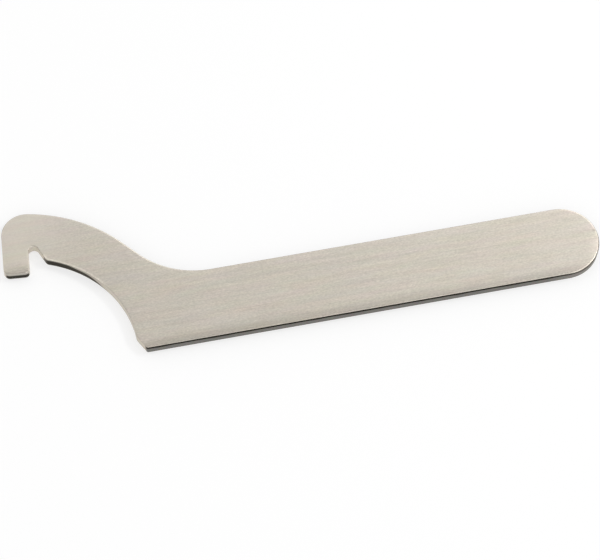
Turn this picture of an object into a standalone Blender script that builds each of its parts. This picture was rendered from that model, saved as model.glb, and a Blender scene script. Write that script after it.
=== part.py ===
# Hook spanner for the preload collar of a shock absorber, blanked from one piece of steel plate.
# A straight handle with a round end runs through a swept neck into an arm that curls round the collar
# and ends in a single tooth, with a relief notch beside the tooth and a sloped heel under the jaw.
# The outline is drawn about the centre of the jaw, with the handle along +X and the plate lying flat.
import math

import bmesh
import bpy
from mathutils import Vector

MM = 0.001

# Plate and its blanked edge, from the upper face down: rolled edge, smooth land, tapered break
PLATE_THICKNESS = 3.2 * MM
EDGE_ROLL = 0.4 * MM
LAND_HEIGHT = 0.9 * MM
BREAK_TAPER = 0.15 * MM
UNDERSIDE_CHAMFER = 0.12 * MM

# Handle
HANDLE_WIDTH = 22.2 * MM
HANDLE_REACH = 159.7 * MM  # from the jaw's centre to the centre of the round end
HANDLE_RISE = 7.45 * MM  # of the handle's centre line over the jaw's centre

# Jaw, arm and neck
JAW_RADIUS = 32.9 * MM
ARM_WIDTH = 15.3 * MM  # straight above the jaw's centre
BACK_RISE = 3.5 * MM  # of the back's own centre over the jaw's centre
NECK_STRAIGHT = 6.6 * MM  # between the back's arc and the neck's
NECK_RADIUS = 25.8 * MM

# Heel, where the jaw meets the handle's lower edge
HEEL_HEIGHT = 4.4 * MM
HEEL_SLOPE = math.radians(27.5)  # off square to the handle
SLOPE_CORNER = 1.5 * MM  # between the jaw and the slope
HEEL_CORNER = 0.6 * MM

# Tooth, which points at the jaw's centre
TOOTH_BEARING = math.radians(84.95)  # from the handle's direction, about the jaw's centre
TOOTH_WIDTH = 7.5 * MM
TOOTH_DEPTH = 4.9 * MM  # inside the jaw's circle
TOOTH_OUTER_CORNER = 1.8 * MM
TOOTH_INNER_CORNER = 1.4 * MM
HOOK_CORNER = 7.2 * MM  # between the back and the tooth's outer side

# Relief notch between the tooth and the nose of the jaw
NOTCH_DEPTH = 3.8 * MM  # outside the jaw's circle
NOTCH_RADIUS = 1.5 * MM
NOTCH_FLARE = math.radians(28.0)  # of the far side, off the tooth's side
NOSE_CORNER = 1.5 * MM

# Facets
CHORD_SAG = 0.01 * MM
SAME_POINT = 0.001 * MM
ROLL_STEPS = 3
SMOOTH_ANGLE = math.radians(28.0)

# Finish: satin nickel on steel
STEEL_COLOUR = (0.58, 0.54, 0.47, 1.0)
STEEL_ROUGHNESS = 0.42
STEEL_METALLIC = 0.9

QUARTER = math.radians(90.0)


def clear_scene():
    for old in list(bpy.data.objects):
        bpy.data.objects.remove(old, do_unlink=True)


def polar(bearing, length):
    return Vector((math.cos(bearing), math.sin(bearing))) * length


def bearing_of(vector):
    return math.atan2(vector.y, vector.x)


def arc(centre, radius, start, end):
    step = 2 * math.acos(1 - CHORD_SAG / radius)
    count = math.ceil(abs(end - start) / step)
    return [centre + polar(start + (end - start) * i / count, radius) for i in range(count + 1)]


def handle_end():
    centre = Vector((HANDLE_REACH, HANDLE_RISE))
    return arc(centre, HANDLE_WIDTH / 2, -QUARTER, QUARTER)


def back_and_neck():
    # The neck's hollow touches the handle's upper edge, and a short straight joins it to the back.
    back_centre = Vector((0, BACK_RISE))
    back_radius = JAW_RADIUS + ARM_WIDTH - BACK_RISE
    both_radii = back_radius + NECK_RADIUS
    neck_y = HANDLE_RISE + HANDLE_WIDTH / 2 + NECK_RADIUS
    neck_x = math.sqrt(both_radii**2 + NECK_STRAIGHT**2 - (neck_y - BACK_RISE) ** 2)
    neck_centre = Vector((neck_x, neck_y))
    neck_bearing = bearing_of(neck_centre - back_centre) + math.atan2(NECK_STRAIGHT, both_radii)
    neck = arc(neck_centre, NECK_RADIUS, -QUARTER, neck_bearing - 2 * QUARTER)

    # The hook's corner rolls inside the back's arc and lands on the tooth's outer side.
    across = TOOTH_WIDTH / 2 - HOOK_CORNER
    back_along = BACK_RISE * math.sin(TOOTH_BEARING)
    back_across = BACK_RISE * math.cos(TOOTH_BEARING)
    reach = math.sqrt((back_radius - HOOK_CORNER) ** 2 - (across - back_across) ** 2)
    hook_centre = on_tooth(across, back_along + reach)
    hook_bearing = bearing_of(hook_centre - back_centre)
    back = arc(back_centre, back_radius, neck_bearing, hook_bearing)
    hook = arc(hook_centre, HOOK_CORNER, hook_bearing, TOOTH_BEARING + QUARTER)
    return [neck, back, hook]


def on_tooth(across, along):
    # A point in the tooth's own directions: across to its outer side, along away from the jaw's centre.
    return polar(TOOTH_BEARING + QUARTER, across) + polar(TOOTH_BEARING, along)


def tooth_tip():
    tip = JAW_RADIUS - TOOTH_DEPTH
    outer_centre = on_tooth(TOOTH_WIDTH / 2 - TOOTH_OUTER_CORNER, tip + TOOTH_OUTER_CORNER)
    inner_centre = on_tooth(TOOTH_INNER_CORNER - TOOTH_WIDTH / 2, tip + TOOTH_INNER_CORNER)
    start = TOOTH_BEARING + QUARTER
    outer = arc(outer_centre, TOOTH_OUTER_CORNER, start, start + QUARTER)
    inner = arc(inner_centre, TOOTH_INNER_CORNER, start + QUARTER, start + 2 * QUARTER)
    return [outer, inner]


def jaw_corner(bearing, distance, radius, way):
    # The centre of a corner that touches the jaw's circle from outside, and a straight side of the plate
    # at this distance and bearing from the jaw's centre.
    from_side = distance + radius
    along_side = math.sqrt((JAW_RADIUS + radius) ** 2 - from_side**2)
    return polar(bearing, from_side) + polar(bearing + way * QUARTER, along_side)


def notch_and_jaw():
    root_centre = on_tooth(-TOOTH_WIDTH / 2 - NOTCH_RADIUS, JAW_RADIUS + NOTCH_DEPTH - NOTCH_RADIUS)
    side_bearing = TOOTH_BEARING - QUARTER + NOTCH_FLARE
    notch = arc(root_centre, NOTCH_RADIUS, TOOTH_BEARING + QUARTER, side_bearing)

    # The nose's corner joins the notch's flared side to the jaw.
    side_distance = root_centre.dot(polar(side_bearing, 1)) + NOTCH_RADIUS
    nose_centre = jaw_corner(side_bearing, side_distance, NOSE_CORNER, 1)
    nose_bearing = bearing_of(nose_centre)
    nose = arc(nose_centre, NOSE_CORNER, side_bearing + 2 * QUARTER, nose_bearing + 2 * QUARTER)

    # The slope would leave the jaw's circle here, but for the corner between them.
    lower_edge = HANDLE_RISE - HANDLE_WIDTH / 2
    slope_top = polar(math.asin((lower_edge + HEEL_HEIGHT) / JAW_RADIUS), JAW_RADIUS)
    slope_centre = jaw_corner(HEEL_SLOPE, slope_top.dot(polar(HEEL_SLOPE, 1)), SLOPE_CORNER, -1)
    slope_bearing = bearing_of(slope_centre)
    jaw = arc(Vector((0, 0)), JAW_RADIUS, nose_bearing, slope_bearing)
    slope = arc(slope_centre, SLOPE_CORNER, slope_bearing + 2 * QUARTER, 2 * QUARTER + HEEL_SLOPE)

    # The heel's corner touches the slope and the handle's lower edge.
    slope_foot = HEEL_HEIGHT * math.tan(HEEL_SLOPE)
    corner_setback = HEEL_CORNER * math.tan((QUARTER - HEEL_SLOPE) / 2)
    heel_x = slope_top.x + slope_foot + corner_setback
    heel_centre = Vector((heel_x, lower_edge + HEEL_CORNER))
    heel = arc(heel_centre, HEEL_CORNER, 2 * QUARTER + HEEL_SLOPE, 3 * QUARTER)
    return [notch, nose, jaw, slope, heel]


def plate_outline():
    # Anticlockwise round the plate: the straight edges are the gaps between one arc and the next.
    points = []
    for curve in [handle_end()] + back_and_neck() + tooth_tip() + notch_and_jaw():
        touching = points and (curve[0] - points[-1]).length < SAME_POINT
        points.extend(curve[1:] if touching else curve)
    return points


def edges_at(mesh, height):
    return [e for e in mesh.edges if all(abs(v.co.z - height) < SAME_POINT for v in e.verts)]


def blanked_plate(outline):
    break_height = PLATE_THICKNESS - LAND_HEIGHT - EDGE_ROLL
    mesh = bmesh.new()
    corners = [mesh.verts.new((point.x, point.y, break_height)) for point in outline]
    underside = mesh.faces.new(corners)
    raised = bmesh.ops.extrude_face_region(mesh, geom=[underside])["geom"]
    top_corners = [item for item in raised if isinstance(item, bmesh.types.BMVert)]
    bmesh.ops.translate(mesh, verts=top_corners, vec=(0, 0, LAND_HEIGHT + EDGE_ROLL))
    bmesh.ops.recalc_face_normals(mesh, faces=mesh.faces)

    # Below the land the plate breaks away inwards, down to the underside.
    bmesh.ops.inset_region(
        mesh, faces=[underside], thickness=BREAK_TAPER, depth=break_height, use_even_offset=True
    )
    bmesh.ops.bevel(
        mesh,
        geom=edges_at(mesh, PLATE_THICKNESS),
        offset=EDGE_ROLL,
        offset_type="OFFSET",
        segments=ROLL_STEPS,
        profile=0.5,
        affect="EDGES",
    )
    bmesh.ops.bevel(
        mesh,
        geom=edges_at(mesh, 0),
        offset=UNDERSIDE_CHAMFER,
        offset_type="OFFSET",
        segments=1,
        profile=0.5,
        affect="EDGES",
    )
    return mesh


def satin_steel():
    material = bpy.data.materials.new("satin_steel")
    material.use_nodes = True
    shader = material.node_tree.nodes["Principled BSDF"]
    shader.inputs["Base Color"].default_value = STEEL_COLOUR
    shader.inputs["Roughness"].default_value = STEEL_ROUGHNESS
    shader.inputs["Metallic"].default_value = STEEL_METALLIC
    return material


def spanner_plate():
    outline = plate_outline()
    solid = blanked_plate(outline)
    mesh = bpy.data.meshes.new("spanner_plate")
    solid.to_mesh(mesh)
    solid.free()
    mesh.shade_smooth()
    mesh.set_sharp_from_angle(angle=SMOOTH_ANGLE)
    mesh.materials.append(satin_steel())
    plate = bpy.data.objects.new("spanner_plate", mesh)
    bpy.context.scene.collection.objects.link(plate)

    # The middle of the plate's footprint stands on the origin.
    across = [point.x for point in outline]
    up = [point.y for point in outline]
    plate.location = (-(min(across) + max(across)) / 2, -(min(up) + max(up)) / 2, 0)
    return plate


clear_scene()
spanner_plate()
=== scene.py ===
import math

import bmesh
import bpy
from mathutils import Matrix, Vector, kdtree, noise


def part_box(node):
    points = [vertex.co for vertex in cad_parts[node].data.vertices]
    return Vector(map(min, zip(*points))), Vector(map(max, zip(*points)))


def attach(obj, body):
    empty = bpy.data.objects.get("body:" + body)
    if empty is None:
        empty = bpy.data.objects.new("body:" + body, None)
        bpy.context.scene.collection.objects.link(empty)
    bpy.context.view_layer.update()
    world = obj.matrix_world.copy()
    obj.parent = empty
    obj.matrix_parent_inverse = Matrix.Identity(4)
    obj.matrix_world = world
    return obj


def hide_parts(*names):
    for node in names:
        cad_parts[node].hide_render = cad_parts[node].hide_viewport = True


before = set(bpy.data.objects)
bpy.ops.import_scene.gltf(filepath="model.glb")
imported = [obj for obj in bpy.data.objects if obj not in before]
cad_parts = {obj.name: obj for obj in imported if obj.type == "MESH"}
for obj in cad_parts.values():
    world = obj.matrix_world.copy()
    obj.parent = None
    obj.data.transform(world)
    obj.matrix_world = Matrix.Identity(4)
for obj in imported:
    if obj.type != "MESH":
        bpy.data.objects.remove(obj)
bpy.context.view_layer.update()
mm = 0.001
quarter = math.pi / 2
plateLow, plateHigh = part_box("spanner_plate")
thickness = plateHigh.z - plateLow.z
print("frame loaded, plate", [round(side / mm, 2) for side in plateHigh - plateLow], "mm")

# Tolerances
weld = 0.002 * mm  # points closer than this are one
hair = 0.001 * mm  # for cuts and heights that rounding may have moved
slack = 1.01  # the same, as a share of a length
nearEdge = 0.01 * mm  # closer than this to the outline, the wall's normal tells which way is out


# Outline of the plate, drawn about the jaw's centre with the handle along +X
outlineSizes = {  # millimetres
    "handleWidth": 22.2,
    "handleReach": 159.7,  # from the jaw's centre to the round end's
    "handleRise": 7.45,  # of the handle's centre line over the jaw's centre
    "jawRadius": 32.9,
    "armWidth": 15.3,  # straight above the jaw's centre
    "backRise": 3.5,  # of the back's own centre over the jaw's
    "neckStraight": 6.6,
    "neckRadius": 25.8,
    "heelHeight": 4.4,
    "slopeCorner": 1.5,  # between the jaw and the heel's slope
    "heelCorner": 0.6,
    "toothWidth": 7.5,
    "toothDepth": 4.9,  # inside the jaw's circle
    "toothOuterCorner": 1.8,
    "toothInnerCorner": 1.4,
    "hookCorner": 7.2,
    "notchDepth": 3.8,  # outside the jaw's circle
    "notchRadius": 1.5,
    "noseCorner": 1.5,
    "spacing": 0.5,  # between points along the edge
}
outlineAngles = {  # degrees
    "heelSlope": 27.5,  # off square to the handle
    "toothBearing": 84.95,  # from the handle's direction
    "notchFlare": 28.0,  # far side of the notch, off the tooth's side
    "cornerStep": 9.0,  # between points round a tight corner
    "sharp": 30.0,  # faces that meet at more than this aren't shaded as one
}
size = {name: value * mm for name, value in outlineSizes.items()}
angle = {name: math.radians(value) for name, value in outlineAngles.items()}
lowerEdge = size["handleRise"] - size["handleWidth"] / 2
toothTip = size["jawRadius"] - size["toothDepth"]  # from the jaw's centre


def at(bearing, length):
    return Vector((math.cos(bearing), math.sin(bearing), 0)) * length


def bearingOf(vector):
    return math.atan2(vector.y, vector.x)


# Across to the tooth's outer side, and along it away from the jaw's centre
def onTooth(across, along):
    return at(angle["toothBearing"] + quarter, across) + at(angle["toothBearing"], along)


def handleArcs():
    end = Vector((size["handleReach"], size["handleRise"], 0))
    return [(end, size["handleWidth"] / 2, -quarter, quarter)]


def backArcs():
    backCentre = Vector((0, size["backRise"], 0))
    backRadius = size["jawRadius"] + size["armWidth"] - size["backRise"]
    reach = backRadius + size["neckRadius"]
    neckY = size["handleRise"] + size["handleWidth"] / 2 + size["neckRadius"]
    neckX = math.sqrt(reach**2 + size["neckStraight"] ** 2 - (neckY - size["backRise"]) ** 2)
    neckCentre = Vector((neckX, neckY, 0))
    neckBearing = bearingOf(neckCentre - backCentre) + math.atan2(size["neckStraight"], reach)
    # the hook's corner rolls inside the back and lands on the tooth's outer side
    across = size["toothWidth"] / 2 - size["hookCorner"]
    fromBack = across - size["backRise"] * math.cos(angle["toothBearing"])
    along = math.sqrt((backRadius - size["hookCorner"]) ** 2 - fromBack**2)
    hookCentre = onTooth(across, along + size["backRise"] * math.sin(angle["toothBearing"]))
    hookBearing = bearingOf(hookCentre - backCentre)
    return [
        (neckCentre, size["neckRadius"], -quarter, neckBearing - 2 * quarter),
        (backCentre, backRadius, neckBearing, hookBearing),
        (hookCentre, size["hookCorner"], hookBearing, angle["toothBearing"] + quarter),
    ]


def toothArcs():
    arcs = []
    turn = angle["toothBearing"] + quarter
    for name, side in (("toothOuterCorner", 1), ("toothInnerCorner", -1)):
        corner = size[name]
        centre = onTooth(side * (size["toothWidth"] / 2 - corner), toothTip + corner)
        arcs.append((centre, corner, turn, turn + quarter))
        turn += quarter
    return arcs


# Centre of a corner that touches a straight side and, from outside, the jaw's circle
def jawCorner(bearing, distance, radius, way):
    fromSide = distance + radius
    alongSide = math.sqrt((size["jawRadius"] + radius) ** 2 - fromSide**2)
    return at(bearing, fromSide) + at(bearing + way * quarter, alongSide)


def jawArcs():
    root = size["notchRadius"]
    rootCentre = onTooth(-size["toothWidth"] / 2 - root, size["jawRadius"] + size["notchDepth"] - root)
    flank = angle["toothBearing"] - quarter + angle["notchFlare"]
    noseCentre = jawCorner(flank, rootCentre.dot(at(flank, 1)) + root, size["noseCorner"], 1)
    noseBearing = bearingOf(noseCentre)
    # the slope would leave the jaw's circle at its top, but for the corner between them
    slope = angle["heelSlope"]
    slopeTop = at(math.asin((lowerEdge + size["heelHeight"]) / size["jawRadius"]), size["jawRadius"])
    slopeCentre = jawCorner(slope, slopeTop.dot(at(slope, 1)), size["slopeCorner"], -1)
    slopeBearing = bearingOf(slopeCentre)
    # the heel's corner touches the slope and the handle's lower edge
    corner = size["heelCorner"]
    heelX = slopeTop.x + size["heelHeight"] * math.tan(slope) + corner * math.tan((quarter - slope) / 2)
    heelCentre = Vector((heelX, lowerEdge + corner, 0))
    return [
        (rootCentre, root, angle["toothBearing"] + quarter, flank),
        (noseCentre, size["noseCorner"], flank + 2 * quarter, noseBearing + 2 * quarter),
        (Vector(), size["jawRadius"], noseBearing, slopeBearing),
        (slopeCentre, size["slopeCorner"], slopeBearing + 2 * quarter, 2 * quarter + slope),
        (heelCentre, corner, 2 * quarter + slope, 3 * quarter),
    ]


def drawOutline(bm):
    starts, last = [], None
    for centre, radius, start, stop in handleArcs() + backArcs() + toothArcs() + jawArcs():
        first = bm.verts.new(centre + at(start, radius))
        starts.append(first)
        if last:
            drawStraight(bm, last, first.co)
        step = min(size["spacing"] / radius, angle["cornerStep"])
        turns = math.ceil(abs(stop - start) / step)
        spun = bmesh.ops.spin(
            bm, geom=[first], cent=centre, axis=(0, 0, 1), angle=stop - start, steps=turns
        )
        last = spun["geom_last"][0]
    drawStraight(bm, last, starts[0].co)
    bmesh.ops.remove_doubles(bm, verts=bm.verts, dist=weld)
    return bmesh.ops.contextual_create(bm, geom=bm.edges[:])["faces"][0]


# A spin without a turn only moves along
def drawStraight(bm, tail, end):
    run = end - tail.co
    steps = math.ceil(run.length / size["spacing"])
    if run.length > weld:
        bmesh.ops.spin(bm, geom=[tail], axis=(0, 0, 1), dvec=run / steps, angle=0, steps=steps)


# Blanked edge from the upper face down: rolled edge, smooth land, broken zone, chamfer
edgeSizes = {  # millimetres
    "roll": 0.4,
    "jawRoll": 0.1,  # the same, round the jaw
    "land": 0.65,  # along the handle and the arm
    "jawLand": 2.2,  # round the tooth and the jaw
    "taper": 0.15,  # of the broken zone, over its height
    "chamfer": 0.12,
    "rim": 0.12,  # flat ring that keeps each face's shading level
    "waver": 0.16,  # of the line where the land ends
    "waverLength": 5.0,
    "tear": 0.035,  # depth of the broken zone's pits
    "tearLength": 0.5,
    "sag": 0.15,  # of the upper face towards the handle's lower edge
    "toothSag": 0.1,  # the same, towards the tooth's tip
    "jawSag": 0.03,  # the same, elsewhere
    "sagWidth": 3.0,
    "cell": 1.2,  # of the grid that the faces are cut into
}
edgeRows = {"roll": 8, "land": 8, "broken": 10}
edgeNoise = {"waver": (1.0, 2.0, 3), "tear": (0.8, 2.0, 3)}  # evenness, step in scale, octaves
edge = {name: value * mm for name, value in edgeSizes.items()}
landTop = thickness - edge["roll"]
landFoot = landTop - edge["land"]
satinIndex, landIndex, brokenIndex = range(3)


def raiseRings(bm, cap, steps, materialIndex):
    for inward, outward in steps:
        ring = bmesh.ops.inset_region(
            bm, faces=[cap], thickness=inward, depth=outward, use_even_offset=True
        )["faces"]
        for face in ring:
            face.material_index = materialIndex


def cutGrid(bm, cap):
    cells = [cap]
    low, high = (Vector(map(pick, zip(*(v.co for v in cap.verts)))) for pick in (min, max))
    for axis in (Vector((1, 0, 0)), Vector((0, 1, 0))):
        span = (high - low).dot(axis)
        count = int(span / edge["cell"])
        for i in range(1, count):
            around = {item for face in cells for item in (*face.edges, *face.verts)}
            cut = bmesh.ops.bisect_plane(
                bm,
                geom=[*cells, *around],
                plane_co=low + axis * span * i / count,
                plane_no=axis,
                dist=hair,
            )["geom"]
            cells = [item for item in cut if isinstance(item, bmesh.types.BMFace)]
    return cells


def blankedPlate(bm):
    underside = drawOutline(bm)
    outline = [vert.co.copy() for vert in underside.verts]
    brokenHeight = landFoot - edge["chamfer"]
    landStep = edge["land"] / edgeRows["land"]
    raised = bmesh.ops.extrude_face_region(bm, geom=[underside])["geom"]
    upper = [item for item in raised if isinstance(item, bmesh.types.BMFace)][0]
    bmesh.ops.translate(bm, verts=upper.verts, vec=(0, 0, landStep))
    bmesh.ops.recalc_face_normals(bm, faces=bm.faces)
    for face in bm.faces:
        face.material_index = landIndex
    bends = [quarter * i / edgeRows["roll"] for i in range(edgeRows["roll"] + 1)]
    rollSteps = [
        (edge["roll"] * (math.cos(a) - math.cos(b)), edge["roll"] * (math.sin(b) - math.sin(a)))
        for a, b in zip(bends, bends[1:])
    ]
    rows = edgeRows["broken"]
    raiseRings(bm, upper, rollSteps[: edgeRows["roll"] // 2], landIndex)
    raiseRings(bm, upper, rollSteps[edgeRows["roll"] // 2 :] + [(edge["rim"], 0)], satinIndex)
    raiseRings(bm, underside, [(0, landStep)] * (edgeRows["land"] - 1), landIndex)
    raiseRings(bm, underside, [(edge["taper"] / rows, brokenHeight / rows)] * rows, brokenIndex)
    raiseRings(bm, underside, [(edge["chamfer"], edge["chamfer"]), (edge["rim"], 0)], satinIndex)
    for cap in (upper, underside):
        cap.material_index = satinIndex
    lowest = min(vert.co.z for vert in bm.verts)
    bmesh.ops.translate(bm, verts=bm.verts, vec=(0, 0, -lowest))
    for cap in (upper, underside):
        # cells that the rim cuts have points in line, which must not make empty triangles
        alongRim = [face for face in cutGrid(bm, cap) if len(face.verts) > 4]
        bmesh.ops.triangulate(bm, faces=alongRim, ngon_method="BEAUTY")
    return outline


# What blanking and use did to the edge, the painted light and shade on its walls, rim and hook, and the
# spans over which each comes or goes
wearAndPaintedLight = {
    "paintedLitDepth": 0.25 * mm,  # how far down the jaw's walls get a bright painted reflection
    "middlePaintedLitDepth": 0.85 * mm,  # the same, towards the middle of the jaw
    "toothPaintedLitDepth": 1.1 * mm,  # the same, on the tooth
    "border": 0.2 * mm,  # half the width of the soft border below it
    "forwardDimmed": 0.3,  # share of the painted brightness taken off walls that face forwards
    "endPaintedLit": 0.12,  # share of the painted brightness on the round end's wall
    "rimTone": 1.06,  # painted highlight on the upper face at its very edge
    "jawPaintedRimHighlight": 1.0,  # painted highlight added to it above the jaw's walls, where they are painted dark
    "hookPolishAndSheen": 0.6,  # share of the grain that is worn off the hook, which also sets its painted highlight
    "notchLevel": 0.9 * size["jawRadius"],  # the notch and all behind it lie over this
    "jawSpan": (2 * mm, 13 * mm),  # outwards from the jaw's circle
    "noseSpan": (0.6 * mm, 1.8 * mm),  # the same, in the notch
    "toothSpan": (1 * mm, 3 * mm),  # inwards from the jaw's circle
    "heelSpan": (-1 * mm, -0.2 * mm),  # downwards to the handle's lower edge
    "endSpan": (-8 * mm, 4 * mm),  # along the handle, past the round end's centre
    "hookSpan": (4 * mm, 24 * mm),  # along the handle, past the jaw's centre
    "forward": (0.5, 0.76),  # how far a wall faces forwards, from 0 for sideways to 1
    "notchForward": (0.3, 0.38),  # the same, on the notch's far side
    "middleForward": (0.78, 0.9),  # the same, from the middle of the jaw to its nose
    "sagForward": (-0.3, 0.5),  # the same, for the sag along the handle
    "rimForward": (0.0, 0.5),  # how far a wall faces forwards, over which the rim above it gets the added painted highlight
}


def between(start, end, share):
    return start + (end - start) * share


def smooth(value, low, high):
    share = max(0, min(1, (value - low) / (high - low)))
    return share * share * (3 - 2 * share)


def outlineTree(outline):
    tree = kdtree.KDTree(len(outline))
    for i, point in enumerate(outline):
        tree.insert(Vector((point.x, point.y, 0)), i)
    tree.balance()
    return tree


# Shares, from 0 to 1, that tell where on the outline a point is
def edgePlace(nearest, outward):
    fromJaw = nearest.length - size["jawRadius"]
    heel = smooth(lowerEdge - nearest.y, *wearAndPaintedLight["heelSpan"])
    forward = smooth(-outward.y, *wearAndPaintedLight["forward"])
    middle = 1 - smooth(-outward.y, *wearAndPaintedLight["middleForward"])
    if nearest.y > wearAndPaintedLight["notchLevel"]:
        # of the notch, only the end of its far side counts
        if outward.x < 0:
            forward = max(forward, smooth(-outward.y, *wearAndPaintedLight["notchForward"]))
        forward *= 1 - smooth(fromJaw, *wearAndPaintedLight["noseSpan"])
        middle = 0
    return {
        "outside": max(smooth(fromJaw, *wearAndPaintedLight["jawSpan"]), heel),
        "forward": forward,
        "middle": middle,
        "tooth": smooth(-fromJaw, *wearAndPaintedLight["toothSpan"]),
        "lower": smooth(-outward.y, *wearAndPaintedLight["sagForward"]),
        "end": smooth(nearest.x - size["handleReach"], *wearAndPaintedLight["endSpan"]),
    }


# The roll is tighter round the jaw, and the punch draws the upper face down near its edge
def drawFaceDown(vert, nearest, inward, place):
    if inward <= edge["roll"] * slack:
        tight = between(edge["jawRoll"], edge["roll"], place["outside"]) / edge["roll"]
        vert.co.xy = nearest.xy.lerp(vert.co.xy, tight)
        vert.co.z = between(thickness, vert.co.z, tight)
    sag = between(edge["jawSag"], edge["sag"], place["outside"] * place["lower"])
    sag = between(sag, edge["toothSag"], place["tooth"] * place["forward"])
    vert.co.z -= sag * max(0, 1 - inward / edge["sagWidth"]) ** 2


# The land is deeper round the jaw, its foot wavers, and the broken zone is pitted
def tearWall(vert, normal, flat, place):
    land = between(edge["jawLand"], edge["land"], place["outside"])
    waver = edge["waver"] * noise.fractal(flat / edge["waverLength"], *edgeNoise["waver"])
    foot = landTop - land + waver
    if vert.co.z >= landFoot - hair:
        vert.co.z = between(foot, landTop, (vert.co.z - landFoot) / edge["land"])
    else:
        share = (vert.co.z - edge["chamfer"]) / (landFoot - edge["chamfer"])
        vert.co.z = between(edge["chamfer"], foot, share)
        pit = edge["tear"] * abs(noise.fractal(vert.co / edge["tearLength"], *edgeNoise["tear"]))
        fade = min(1, 3 * share, 3 * (1 - share))  # over the outer thirds of the zone
        vert.co -= Vector((normal.x, normal.y, 0)) * pit * fade


# Painted light and shade on the walls: round the jaw they get a bright painted reflection, and only the
# lower part of those that face forwards keeps the dark painted shade
def paintedSheenShare(height, place):
    paintedLitDepth = between(wearAndPaintedLight["paintedLitDepth"], wearAndPaintedLight["middlePaintedLitDepth"], place["middle"])
    paintedLitDepth = between(paintedLitDepth, wearAndPaintedLight["toothPaintedLitDepth"], place["tooth"])
    darkTop = (thickness - paintedLitDepth) * place["forward"]
    bright = smooth(height, darkTop - wearAndPaintedLight["border"], darkTop + wearAndPaintedLight["border"])
    bright *= 1 - wearAndPaintedLight["forwardDimmed"] * place["forward"]
    return between(bright, wearAndPaintedLight["endPaintedLit"] * place["end"], place["outside"])


def paintedRimHighlightAt(place):
    alongJaw = smooth(place["forward"], *wearAndPaintedLight["rimForward"])
    alongJaw *= (1 - place["tooth"]) * (1 - place["outside"])
    return wearAndPaintedLight["rimTone"] + wearAndPaintedLight["jawPaintedRimHighlight"] * alongJaw


def polishAndSheenShare(flat):
    hook = 1 - smooth(flat.x, *wearAndPaintedLight["hookSpan"])
    return wearAndPaintedLight["hookPolishAndSheen"] * hook * smooth(flat.length, toothTip, size["jawRadius"])


def wearEdgesAndPaintLight(bm, outline):
    tree = outlineTree(outline)
    bm.normal_update()
    fromEdge = bm.verts.layers.float.new("fromEdge")
    rubbed = bm.verts.layers.float.new("rubbed")
    rimTone = bm.verts.layers.float.new("rimTone")
    polished = bm.verts.layers.float.new("polished")
    normals = {vert: vert.normal.copy() for vert in bm.verts}
    for vert, normal in normals.items():
        flat = Vector((vert.co.x, vert.co.y, 0))
        nearest, _, inward = tree.find(flat)
        outward = (nearest - flat if inward > nearEdge else normal).xy.normalized()
        place = edgePlace(nearest, outward)
        if vert.co.z >= landTop - hair:
            drawFaceDown(vert, nearest, inward, place)
        elif vert.co.z > edge["chamfer"] * slack:
            tearWall(vert, normal, flat, place)
        vert[fromEdge] = inward
        # painted light and shade: how far a wall shows its bright painted reflection instead of its
        # dark painted shade
        vert[rubbed] = paintedSheenShare(vert.co.z, place)
        # painted highlight along the rim
        vert[rimTone] = paintedRimHighlightAt(place)
        # polish on the hook, and the hook's painted highlight
        vert[polished] = polishAndSheenShare(flat)


def spannerPlate():
    bm = bmesh.new()
    outline = blankedPlate(bm)
    wearEdgesAndPaintLight(bm, outline)
    low, high = (Vector(map(pick, zip(*outline))) for pick in (min, max))
    middle = (plateLow + plateHigh - low - high) / 2
    bmesh.ops.translate(bm, verts=bm.verts, vec=(middle.x, middle.y, plateLow.z))
    mesh = bpy.data.meshes.new("spanner_plate_finished")
    bm.to_mesh(mesh)
    bm.free()
    mesh.shade_smooth()
    mesh.set_sharp_from_angle(angle=angle["sharp"])
    plate = bpy.data.objects.new("spanner_plate_finished", mesh)
    bpy.context.scene.collection.objects.link(plate)
    return plate


# Finishes
toneSpan = (0.25, 0.75)  # values of a noise over which it changes the tone
glossSpan = (0.3, 0.7)  # the same, for the roughness


def newNodes(tree):
    def add(kind, inputs=None, **values):
        node = tree.nodes.new(kind)
        for name, value in values.items():
            setattr(node, name, value)
        for name, value in (inputs or {}).items():
            node.inputs[name].default_value = value
        return node

    def join(source, target):
        tree.links.new(source, target)

    return add, join


def newGroup(name, inputs, outputs):
    group = bpy.data.node_groups.new(name, "ShaderNodeTree")
    for socketName, kind in inputs:
        group.interface.new_socket(socketName, in_out="INPUT", socket_type=kind)
    for socketName, kind in outputs:
        group.interface.new_socket(socketName, in_out="OUTPUT", socket_type=kind)
    return group


def rangeInputs(source, target):
    return dict(zip(("From Min", "From Max", "To Min", "To Max"), (*source, *target)))


# A noise on the piece's own coordinates, drawn out by one of the group's inputs
def stretchedNoise(add, join, stretch, values):
    place = add("ShaderNodeTexCoord")
    stretched = add("ShaderNodeMapping")
    pattern = add("ShaderNodeTexNoise", {"Scale": 1.0, **values})
    join(place.outputs["Object"], stretched.inputs["Vector"])
    join(stretch, stretched.inputs["Scale"])
    join(stretched.outputs["Vector"], pattern.inputs["Vector"])
    return pattern


def lineGrain():  # fine lines, drawn out along the axis with the smallest stretch
    group = newGroup("lineGrain", [("Stretch", "NodeSocketVector")], [("Grain", "NodeSocketFloat")])
    add, join = newNodes(group)
    start, end = add("NodeGroupInput"), add("NodeGroupOutput")
    lines = stretchedNoise(add, join, start.outputs["Stretch"], {"Detail": 4.0, "Roughness": 0.62})
    join(lines.outputs["Fac"], end.inputs["Grain"])
    return group


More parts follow.
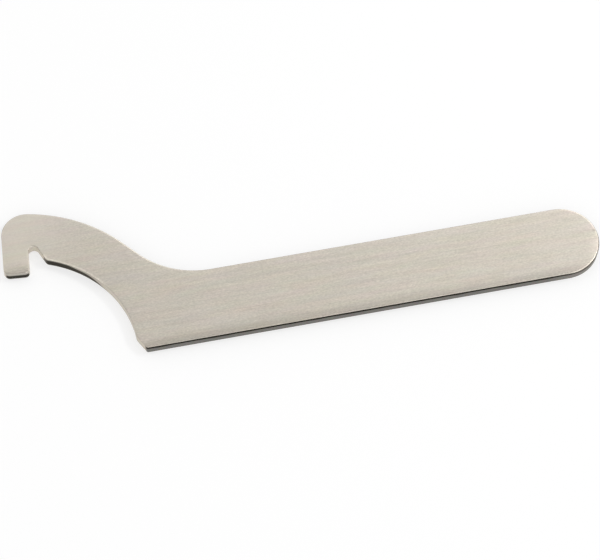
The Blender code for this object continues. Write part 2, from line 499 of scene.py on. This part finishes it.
def platingTone():  # slow patches of warmer and cooler, paler and darker plating
    group = newGroup(
        "platingTone",
        [
            ("Plating", "NodeSocketColor"),
            ("Rubbed", "NodeSocketColor"),
            ("Patches", "NodeSocketVector"),
            ("Contrast", "NodeSocketFloat"),
        ],
        [("Tone", "NodeSocketColor")],
    )
    add, join = newNodes(group)
    start, end = add("NodeGroupInput"), add("NodeGroupOutput")
    patch = stretchedNoise(add, join, start.outputs["Patches"], {"Detail": 3.0})
    shift = add("ShaderNodeVectorMath", {1: (0.5, 0.5, 0.5)}, operation="SUBTRACT")
    amount = add("ShaderNodeVectorMath", operation="SCALE")
    around = add("ShaderNodeVectorMath", {1: (1.0, 1.0, 1.0)}, operation="ADD")
    # the painted light attribute mixes the base tone towards the painted sheen
    rubbed = add("ShaderNodeAttribute", attribute_name="rubbed")
    paintedLit = add("ShaderNodeMix", data_type="RGBA")
    tinted = add("ShaderNodeVectorMath", operation="MULTIPLY")
    join(rubbed.outputs["Fac"], paintedLit.inputs["Factor"])
    join(start.outputs["Plating"], paintedLit.inputs[6])
    join(start.outputs["Rubbed"], paintedLit.inputs[7])
    join(patch.outputs["Color"], shift.inputs[0])
    join(shift.outputs["Vector"], amount.inputs[0])
    join(start.outputs["Contrast"], amount.inputs["Scale"])
    join(amount.outputs["Vector"], around.inputs[0])
    join(around.outputs["Vector"], tinted.inputs[0])
    join(paintedLit.outputs[2], tinted.inputs[1])
    join(tinted.outputs["Vector"], end.inputs["Tone"])
    return group


satinNickel = {
    "plating": (0.555, 0.513, 0.447, 1),
    "rubbed": (0.555, 0.513, 0.447, 1),
    "patches": (80.0, 450.0, 450.0),  # per metre, drawn out along the handle
    "contrast": 0.11,
    "lines": {  # stretch per metre, and the share by which each kind changes the tone
        "grain": ((1400.0, 3200.0, 3200.0), 0.33),
        "hairlines": ((70.0, 2400.0, 2400.0), 0.14),
        "streaks": ((45.0, 650.0, 650.0), 0.1),
    },
    "roughness": (0.28, 0.38),
    # over which the rim's painted highlight fades out
    "rimWidth": 0.7 * mm,
    "hookHighlight": 0.16,  # painted highlight added on the hook, where it is also polished
    "bump": 0.25,
    "bumpDepth": 0.02 * mm,
}
shearedLand = {
    # near black: painted shade, standing for the shadowed floor that the land mirrors
    "plating": (0.03, 0.028, 0.0245, 1),
    # painted reflection: the brighter tone the walls take round the jaw and at the round end
    "rubbed": (0.69, 0.64, 0.565, 1),
    "grazing": (0.8, 0.77, 0.72, 1),
    "patches": (400.0, 400.0, 400.0),
    "contrast": 0.2,
    "scoring": (3000.0, 3000.0, 150.0),  # marks of the punch, up and down the wall
    "roughness": (0.14, 0.24),
    "bump": 0.4,
    "bumpDepth": 0.02 * mm,
}
brokenEdge = {
    # darker than the face partly as the broken steel's own grey, partly as painted shade
    "plating": (0.22, 0.21, 0.192, 1),
    # painted reflection: the brighter tone the walls take round the jaw and at the round end
    "rubbed": (0.69, 0.64, 0.565, 1),
    "patches": (1500.0, 1500.0, 1500.0),
    "contrast": 0.5,
    "crystal": 5200.0,
    "crystalDetail": 5.0,
    "roughness": (0.45, 0.7),
    "bump": 0.6,
    "bumpDepth": 0.04 * mm,
}


def newFinish(name, values, tone):
    material = bpy.data.materials.new(name)
    material.use_nodes = True
    tree = material.node_tree
    add, join = newNodes(tree)
    shader = tree.nodes["Principled BSDF"]
    shader.inputs["Metallic"].default_value = 1.0
    toneInputs = {key.capitalize(): values[key] for key in ("plating", "rubbed", "patches", "contrast")}
    colour = add("ShaderNodeGroup", toneInputs, node_tree=tone)
    bump = add("ShaderNodeBump", {"Strength": values["bump"], "Distance": values["bumpDepth"]})
    gloss = add("ShaderNodeMapRange", rangeInputs(glossSpan, values["roughness"]))
    join(bump.outputs["Normal"], shader.inputs["Normal"])
    join(gloss.outputs["Result"], shader.inputs["Roughness"])
    return material, add, join, shader, colour, bump, gloss


def satinFinish(tone, grain):
    values = satinNickel
    material, add, join, shader, colour, bump, gloss = newFinish("satinNickel", values, tone)
    polished = add("ShaderNodeAttribute", attribute_name="polished")
    tint, height = colour.outputs["Tone"], None
    for stretch, spread in values["lines"].values():
        lines = add("ShaderNodeGroup", {"Stretch": stretch}, node_tree=grain)
        lined = add("ShaderNodeMapRange", rangeInputs(toneSpan, (1 - spread / 2, 1 + spread / 2)))
        faded = add("ShaderNodeMix", {"B": 1.0}, data_type="FLOAT")
        tinted = add("ShaderNodeVectorMath", operation="SCALE")
        join(lines.outputs["Grain"], lined.inputs["Value"])
        join(polished.outputs["Fac"], faded.inputs["Factor"])
        join(lined.outputs["Result"], faded.inputs["A"])
        join(faded.outputs["Result"], tinted.inputs["Scale"])
        join(tint, tinted.inputs[0])
        tint = tinted.outputs["Vector"]
        if height is None:
            # the first kind of line also changes the gloss
            join(lines.outputs["Grain"], gloss.inputs["Value"])
            height = lines.outputs["Grain"]
        else:
            raised = add("ShaderNodeMath", operation="ADD")
            join(height, raised.inputs[0])
            join(lines.outputs["Grain"], raised.inputs[1])
            height = raised.outputs["Value"]
    # painted highlight: paler along the rolled edge, most above the jaw's dark painted walls, and paler
    # on the hook, where it is also polished
    edgeDistance = add("ShaderNodeAttribute", attribute_name="fromEdge")
    rim = add("ShaderNodeAttribute", attribute_name="rimTone")
    paintedLit = add(
        "ShaderNodeMapRange",
        {"From Max": values["rimWidth"], "To Max": 1.0},
        interpolation_type="SMOOTHSTEP",
    )
    paler = add("ShaderNodeMath", {1: values["hookHighlight"], 2: 1.0}, operation="MULTIPLY_ADD")
    both = add("ShaderNodeMath", operation="MULTIPLY")
    bright = add("ShaderNodeVectorMath", operation="SCALE")
    join(edgeDistance.outputs["Fac"], paintedLit.inputs["Value"])
    join(rim.outputs["Fac"], paintedLit.inputs["To Min"])
    join(polished.outputs["Fac"], paler.inputs[0])
    join(paintedLit.outputs["Result"], both.inputs[0])
    join(paler.outputs["Value"], both.inputs[1])
    join(tint, bright.inputs[0])
    join(both.outputs["Value"], bright.inputs["Scale"])
    join(bright.outputs["Vector"], shader.inputs["Base Color"])
    join(height, bump.inputs["Height"])
    return material


def landFinish(tone, grain):
    values = shearedLand
    material, add, join, shader, colour, bump, gloss = newFinish("shearedLand", values, tone)
    lines = add("ShaderNodeGroup", {"Stretch": values["scoring"]}, node_tree=grain)
    shader.inputs["Specular Tint"].default_value = values["grazing"]
    join(colour.outputs["Tone"], shader.inputs["Base Color"])
    join(lines.outputs["Grain"], gloss.inputs["Value"])
    join(lines.outputs["Grain"], bump.inputs["Height"])
    return material


def brokenFinish(tone):
    values = brokenEdge
    material, add, join, shader, colour, bump, gloss = newFinish("brokenEdge", values, tone)
    place = add("ShaderNodeTexCoord")
    crystal = add("ShaderNodeTexNoise", {"Scale": values["crystal"], "Detail": values["crystalDetail"]})
    join(place.outputs["Object"], crystal.inputs["Vector"])
    join(colour.outputs["Tone"], shader.inputs["Base Color"])
    join(crystal.outputs["Fac"], gloss.inputs["Value"])
    join(crystal.outputs["Fac"], bump.inputs["Height"])
    return material


# Studio
studio = {
    "azimuth": -11.37,  # degrees, of the camera round the plate
    "elevation": 60.0,
    "distance": 867.8 * mm,
    "lookAt": (-2.38 * mm, -12.33 * mm, 3.2 * mm),
    "lens": 180.0,
    "sensor": 36.0,
    "clipStart": 0.01,
    "floorSide": 40.0,
    "floorGap": 0.02 * mm,  # below the plate
    "floorColour": 0.8,
    "floorSeen": 0.44,  # colour of the floor as the camera and the metal see it
    "floorGlow": 0.61,  # added to it, to reach white
    "ambient": 0.95,
}
endLamp = {
    "azimuth": 96.0,  # degrees, as for the camera
    "elevation": 46.0,
    "distance": 1.5,
    "wide": 0.4,
    "high": 0.15,
    "level": 20.0,  # 1 is as bright as white paper
}
# How bright the room looks in the metal, by how far a direction points to the back or to the right
roomDepth = {-0.4: 1.0, -0.05: 0.95, 0.22: 0.26, 0.62: 1.64, 0.85: 0.95, 1.0: 0.75}
roomSide = {-1.0: 1.0, 0.2: 1.0, 0.4: 3.1, 0.75: 1.0}


def placeFacing(name, data, values, target):
    a, e = math.radians(values["azimuth"]), math.radians(values["elevation"])
    away = Vector((math.sin(a) * math.cos(e), -math.cos(a) * math.cos(e), math.sin(e)))
    placed = bpy.data.objects.new(name, data)
    bpy.context.scene.collection.objects.link(placed)
    placed.location = target + away * values["distance"]
    placed.rotation_euler = (-away).to_track_quat("-Z", "Y").to_euler()
    return placed


def placeCamera():
    data = bpy.data.cameras.new("camera")
    data.lens = studio["lens"]
    data.sensor_width = studio["sensor"]
    data.clip_start = studio["clipStart"]
    bpy.context.scene.camera = placeFacing("camera", data, studio, Vector(studio["lookAt"]))


def placeLamp():
    data = bpy.data.lights.new("endLamp", "AREA")
    data.shape = "RECTANGLE"
    data.size, data.size_y = endLamp["wide"], endLamp["high"]
    data.energy = endLamp["level"] * math.pi * endLamp["wide"] * endLamp["high"]
    placeFacing("endLamp", data, endLamp, Vector())


def seenDirectly(add, join):  # 1 for what the camera, the metal's gloss or glass sees
    path = add("ShaderNodeLightPath")
    total = path.outputs["Is Camera Ray"]
    for name in ("Is Glossy Ray", "Is Transmission Ray"):
        either = add("ShaderNodeMath", operation="MAXIMUM")
        join(total, either.inputs[0])
        join(path.outputs[name], either.inputs[1])
        total = either.outputs["Value"]
    return total, path.outputs["Is Glossy Ray"]


def floorFinish():
    material = bpy.data.materials.new("paleFloor")
    material.use_nodes = True
    tree = material.node_tree
    tree.nodes.clear()
    add, join = newNodes(tree)
    paper = add("ShaderNodeBsdfDiffuse")
    seen = add("ShaderNodeMapRange", {"To Min": studio["floorColour"], "To Max": studio["floorSeen"]})
    glow = add("ShaderNodeEmission")
    glowing = add("ShaderNodeMath", {1: studio["floorGlow"]}, operation="MULTIPLY")
    both = add("ShaderNodeAddShader")
    output = add("ShaderNodeOutputMaterial")
    direct = seenDirectly(add, join)[0]
    join(direct, seen.inputs["Value"])
    join(direct, glowing.inputs[0])
    join(seen.outputs["Result"], paper.inputs["Color"])
    join(glowing.outputs["Value"], glow.inputs["Strength"])
    join(paper.outputs["BSDF"], both.inputs[0])
    join(glow.outputs["Emission"], both.inputs[1])
    join(both.outputs["Shader"], output.inputs["Surface"])
    return material


def layFloor():
    bm = bmesh.new()
    bmesh.ops.create_grid(bm, x_segments=1, y_segments=1, size=studio["floorSide"] / 2)
    bmesh.ops.translate(bm, verts=bm.verts, vec=(0, 0, plateLow.z - studio["floorGap"]))
    mesh = bpy.data.meshes.new("floor")
    bm.to_mesh(mesh)
    bm.free()
    mesh.materials.append(floorFinish())
    floor = bpy.data.objects.new("floor", mesh)
    bpy.context.scene.collection.objects.link(floor)


def roomLevel(add, join, part, stops):
    share = add("ShaderNodeMapRange", {"From Min": -1.0})
    ramp = add("ShaderNodeValToRGB")
    elements = ramp.color_ramp.elements
    while len(elements) < len(stops):
        elements.new(0.5)
    for element, place in zip(elements, sorted(stops)):
        element.position = (place + 1) / 2
        element.color = (*[stops[place]] * 3, 1)
    join(part, share.inputs["Value"])
    join(share.outputs["Result"], ramp.inputs["Fac"])
    return ramp.outputs["Color"]


def lightWorld():
    world = bpy.data.worlds.new("studioRoom")
    bpy.context.scene.world = world
    world.use_nodes = True
    tree = world.node_tree
    tree.nodes.clear()
    add, join = newNodes(tree)
    direction = add("ShaderNodeTexCoord")
    parts = add("ShaderNodeSeparateXYZ")
    room = add("ShaderNodeMath", operation="MULTIPLY")
    seen = add("ShaderNodeMix", {"A": 1.0}, data_type="FLOAT")
    lit = add("ShaderNodeMix", {"A": studio["ambient"]}, data_type="FLOAT")
    background = add("ShaderNodeBackground")
    output = add("ShaderNodeOutputWorld")
    direct, glossy = seenDirectly(add, join)
    join(direction.outputs["Generated"], parts.inputs["Vector"])
    join(roomLevel(add, join, parts.outputs["Y"], roomDepth), room.inputs[0])
    join(roomLevel(add, join, parts.outputs["X"], roomSide), room.inputs[1])
    join(glossy, seen.inputs["Factor"])
    join(room.outputs["Value"], seen.inputs["B"])
    join(direct, lit.inputs["Factor"])
    join(seen.outputs["Result"], lit.inputs["B"])
    join(lit.outputs["Result"], background.inputs["Strength"])
    join(background.outputs["Background"], output.inputs["Surface"])


placeCamera()
placeLamp()
layFloor()
lightWorld()
bpy.context.scene.view_settings.view_transform = "Standard"
print("studio ready, camera", studio["distance"], "m from the plate")

plate = spannerPlate()
tone, grain = platingTone(), lineGrain()
for finish in (satinFinish(tone, grain), landFinish(tone, grain), brokenFinish(tone)):
    plate.data.materials.append(finish)
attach(plate, "root")
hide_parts("spanner_plate")
print("plate finished,", len(plate.data.polygons), "faces")
